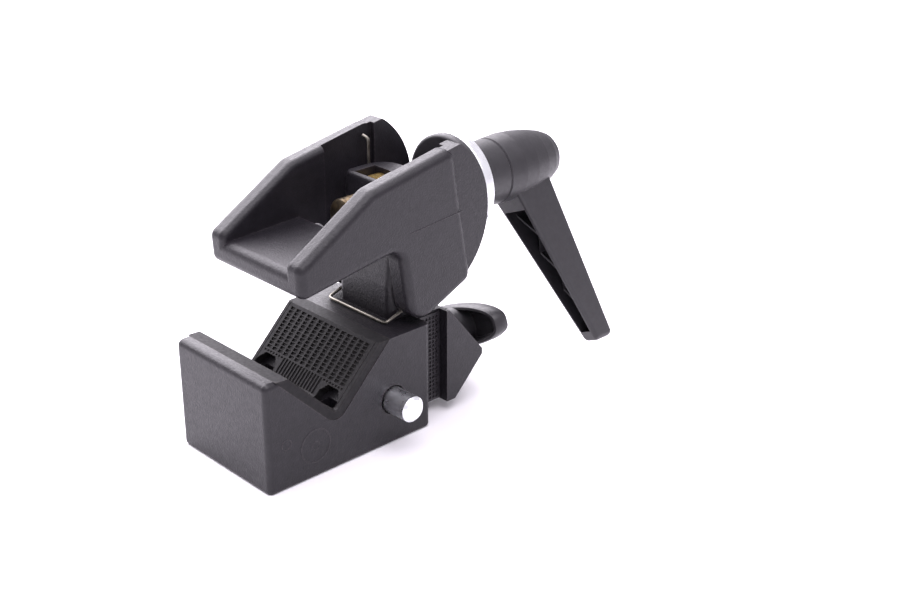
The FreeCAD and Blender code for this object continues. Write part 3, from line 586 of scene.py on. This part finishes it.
def make_screw():
    """Threaded screw with its flange and spline."""
    edge = FLANGE_RADIUS - FLANGE_CHAMFER
    steps = int((THREAD_END - THREAD_START) / THREAD_STEP)
    profile = [(TIP, AXIS_RADIUS), (TIP, 4.6), (TIP + 0.8, 5.7)]
    profile += [(THREAD_START + THREAD_STEP * k, SCREW_RADIUS) for k in range(steps)]
    profile += [(THREAD_END + 0.2, SCREW_RADIUS), (FLANGE_FRONT, SCREW_RADIUS), (FLANGE_FRONT, edge),
                (FLANGE_FRONT + FLANGE_CHAMFER, FLANGE_RADIUS), (FLANGE_REAR - FLANGE_CHAMFER, FLANGE_RADIUS),
                (FLANGE_REAR, edge), (FLANGE_REAR, SPLINE_ROOT), (SPLINE_START, SPLINE_ROOT),
                (SPLINE_END, SPLINE_ROOT), (SPLINE_END + 0.2, SPLINE_ROOT), (SCREW_END, 7.2),
                (SCREW_END, AXIS_RADIUS)]
    solid = lathe(profile, 96, (0, SCREW_Z), wobble=screw_relief)
    screw = piece("threaded_screw", *solid, "clamp_screw", "steel", 40)
    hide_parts("clamp_screw")


# ---------------------------------------------------------------- wing knob

KNOB_TURN = -21
WING_REACH = 21.6
WING_HALF = 7.4
WING_WAIST = 0.25
OVAL_POWER = 0.625
KNOB_SIDES = 96

# the wings' section, in (inset from the outline, Y), and the hub's, in (Y, radius)
WING_SECTION = [(5.4, 101.2), (2.6, 101.2), (2.0, 100.6), (1.8, 98.8), (1.2, 98.1), (0.4, 98.3), (0.0, 99.0),
                (0.0, 102.8), (0.3, 103.8), (1.2, 104.4), (4.0, 104.5)]
HUB_SECTION = [(88.0, 4.1), (88.0, 6.4), (88.5, 7.0), (98.5, 7.0), (101.5, 7.6), (101.5, 4.1)]


def knob_outline(inset):
    """Long oval outline of the wings, drawn in by an inset in mm."""
    outline = []
    for k in range(KNOB_SIDES):
        turn = 2 * math.pi * k / KNOB_SIDES
        across = abs(math.cos(turn)) ** OVAL_POWER * math.copysign(WING_REACH - inset, math.cos(turn))
        waist = 1 - WING_WAIST * (abs(across) / WING_REACH) ** 2
        up = abs(math.sin(turn)) ** OVAL_POWER * math.copysign((WING_HALF - inset) * waist, math.sin(turn))
        outline.append((across, up))
    return outline


def make_wing_knob():
    """Two-winged knob, dished toward the clamp inside a thick rim, with a round hub."""
    wings = []
    for inset, y in WING_SECTION:
        wings += [spot(x, y, z) for x, z in knob_outline(inset)]
    hub = lathe(HUB_SECTION, 64, (0, 0))
    vertices, faces = joined([(wings, skin(len(WING_SECTION), KNOB_SIDES)), hub])
    turn = Matrix.Rotation(math.radians(KNOB_TURN), 4, "Y")
    lift = Vector((0, 0, KNOB_Z * MM))
    vertices = [turn @ v + lift for v in vertices]
    knob = piece("wing_knob_moulding", vertices, faces, "wing_knob", "moulded_black", 32)
    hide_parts("wing_knob")


# ---------------------------------------------------------------- lever details

# the arm's front plane and the pocket behind it, each as (value at the top, value at the bottom)
ARM_Z = (-7, -69)
ARM_FRONT = (117.4, 140.5)
POCKET_Z = (-16, -65)
POCKET_HALF = (5.1, 2.2)
POCKET_FLOOR = (133.0, 145.2)

RIB_LEVELS = (-18.0, -33.0, -48.0, -62.5)
RIB_HALF = 0.5
RIB_SETBACK = 4.2
RIB_ROOT = 0.4
BAR_FACES = [[0, 1, 3, 2], [4, 6, 7, 5], [0, 4, 5, 1], [2, 3, 7, 6], [0, 2, 6, 4], [1, 5, 7, 3]]


def in_lever(x, y, z):
    """A point of the upright lever, in mm with Z from the screw's axis, turned with it about that axis."""
    turned = Matrix.Rotation(math.radians(LEVER_TURN), 4, "Y") @ Vector((x, 0, z))
    return spot(turned.x, y, SCREW_Z + turned.z)


def down_arm(values, span, z):
    """The value at a height, between one at the top of a span and one at its bottom."""
    return values[0] + (values[1] - values[0]) * (span[0] - z) / (span[0] - span[1])


def make_pocket_ribs():
    """Crossed strengthening ribs in the hollow of the lever's arm."""
    bars = []
    for upper, lower in zip(RIB_LEVELS, RIB_LEVELS[1:]):
        for sign in (-1, 1):
            section = []
            for z, side in ((upper, -sign), (lower, sign)):
                half = down_arm(POCKET_HALF, POCKET_Z, z)
                front = down_arm(ARM_FRONT, ARM_Z, z)
                floor = down_arm(POCKET_FLOOR, POCKET_Z, z)
                for shift in (-RIB_HALF, RIB_HALF):
                    for y in (front + RIB_SETBACK, floor + RIB_ROOT):
                        section.append(in_lever(side * half, y, z + shift))
            bars.append((section, BAR_FACES))
    piece("lever_pocket_ribs", *joined(bars), "lever", "moulded_black")


# ---------------------------------------------------------------- floor, lights and camera

STUDIO_TINT = (1.0, 0.955, 1.03)
SKY_STRENGTH = 0.8
FLOOR_REACH = 4.0
FLOOR_GAP = 0.05
AIM = (0, 0, 0.04)


def area_light(name, place, width, power):
    """A square light aimed at the clamp, with place and width in metres and power in watts."""
    data = bpy.data.lights.new(name, "AREA")
    data.shape = "SQUARE"
    data.size = width
    data.energy = power
    data.color = STUDIO_TINT
    light = bpy.data.objects.new(name, data)
    light.location = place
    light.rotation_euler = (Vector(AIM) - Vector(place)).to_track_quat("-Z", "Y").to_euler()
    bpy.context.scene.collection.objects.link(light)


def make_stage():
    """A wide white floor under a bright even sky, with two soft lights."""
    mesh = bpy.data.meshes.new("floor")
    corners = [(x * FLOOR_REACH, y * FLOOR_REACH, 0) for x, y in ((-1, -1), (1, -1), (1, 1), (-1, 1))]
    mesh.from_pydata(corners, [], [[0, 1, 2, 3]])
    floor = bpy.data.objects.new("floor", mesh)
    floor.location.z = BODY_LOW.z - FLOOR_GAP * MM
    bpy.context.scene.collection.objects.link(floor)
    white = bpy.data.materials.new("floor_white")
    white.use_nodes = True
    shader = white.node_tree.nodes["Principled BSDF"]
    shader.inputs["Base Color"].default_value = (0.86, 0.85, 0.87, 1)
    shader.inputs["Roughness"].default_value = 0.7
    mesh.materials.append(white)
    world = bpy.data.worlds.new("sky")
    world.use_nodes = True
    sky = world.node_tree.nodes["Background"]
    sky.inputs["Color"].default_value = (*STUDIO_TINT, 1)
    sky.inputs["Strength"].default_value = SKY_STRENGTH
    bpy.context.scene.world = world
    area_light("key_left", (-0.66, 0.12, 0.62), 1.1, 25)
    area_light("top_fill", (0.35, -0.05, 1.0), 1.0, 12)


def make_camera():
    """Camera where the photograph was taken from, solved from the edges of the block."""
    data = bpy.data.cameras.new("camera")
    data.lens = 58.0
    data.sensor_width = 36.0
    data.clip_start = 0.01
    camera = bpy.data.objects.new("camera", data)
    camera.location = (0.3333, -0.2778, 0.2317)
    camera.rotation_euler = (math.radians(66.045), 0, math.radians(46.782))
    bpy.context.scene.collection.objects.link(camera)
    bpy.context.scene.camera = camera


dress_nodes()
make_liner()
make_neck_grids()
make_side_marks()
make_spring()
make_screw()
make_wing_knob()
make_pocket_ribs()
make_stage()
make_camera()
bpy.context.scene.view_settings.view_transform = "Standard"
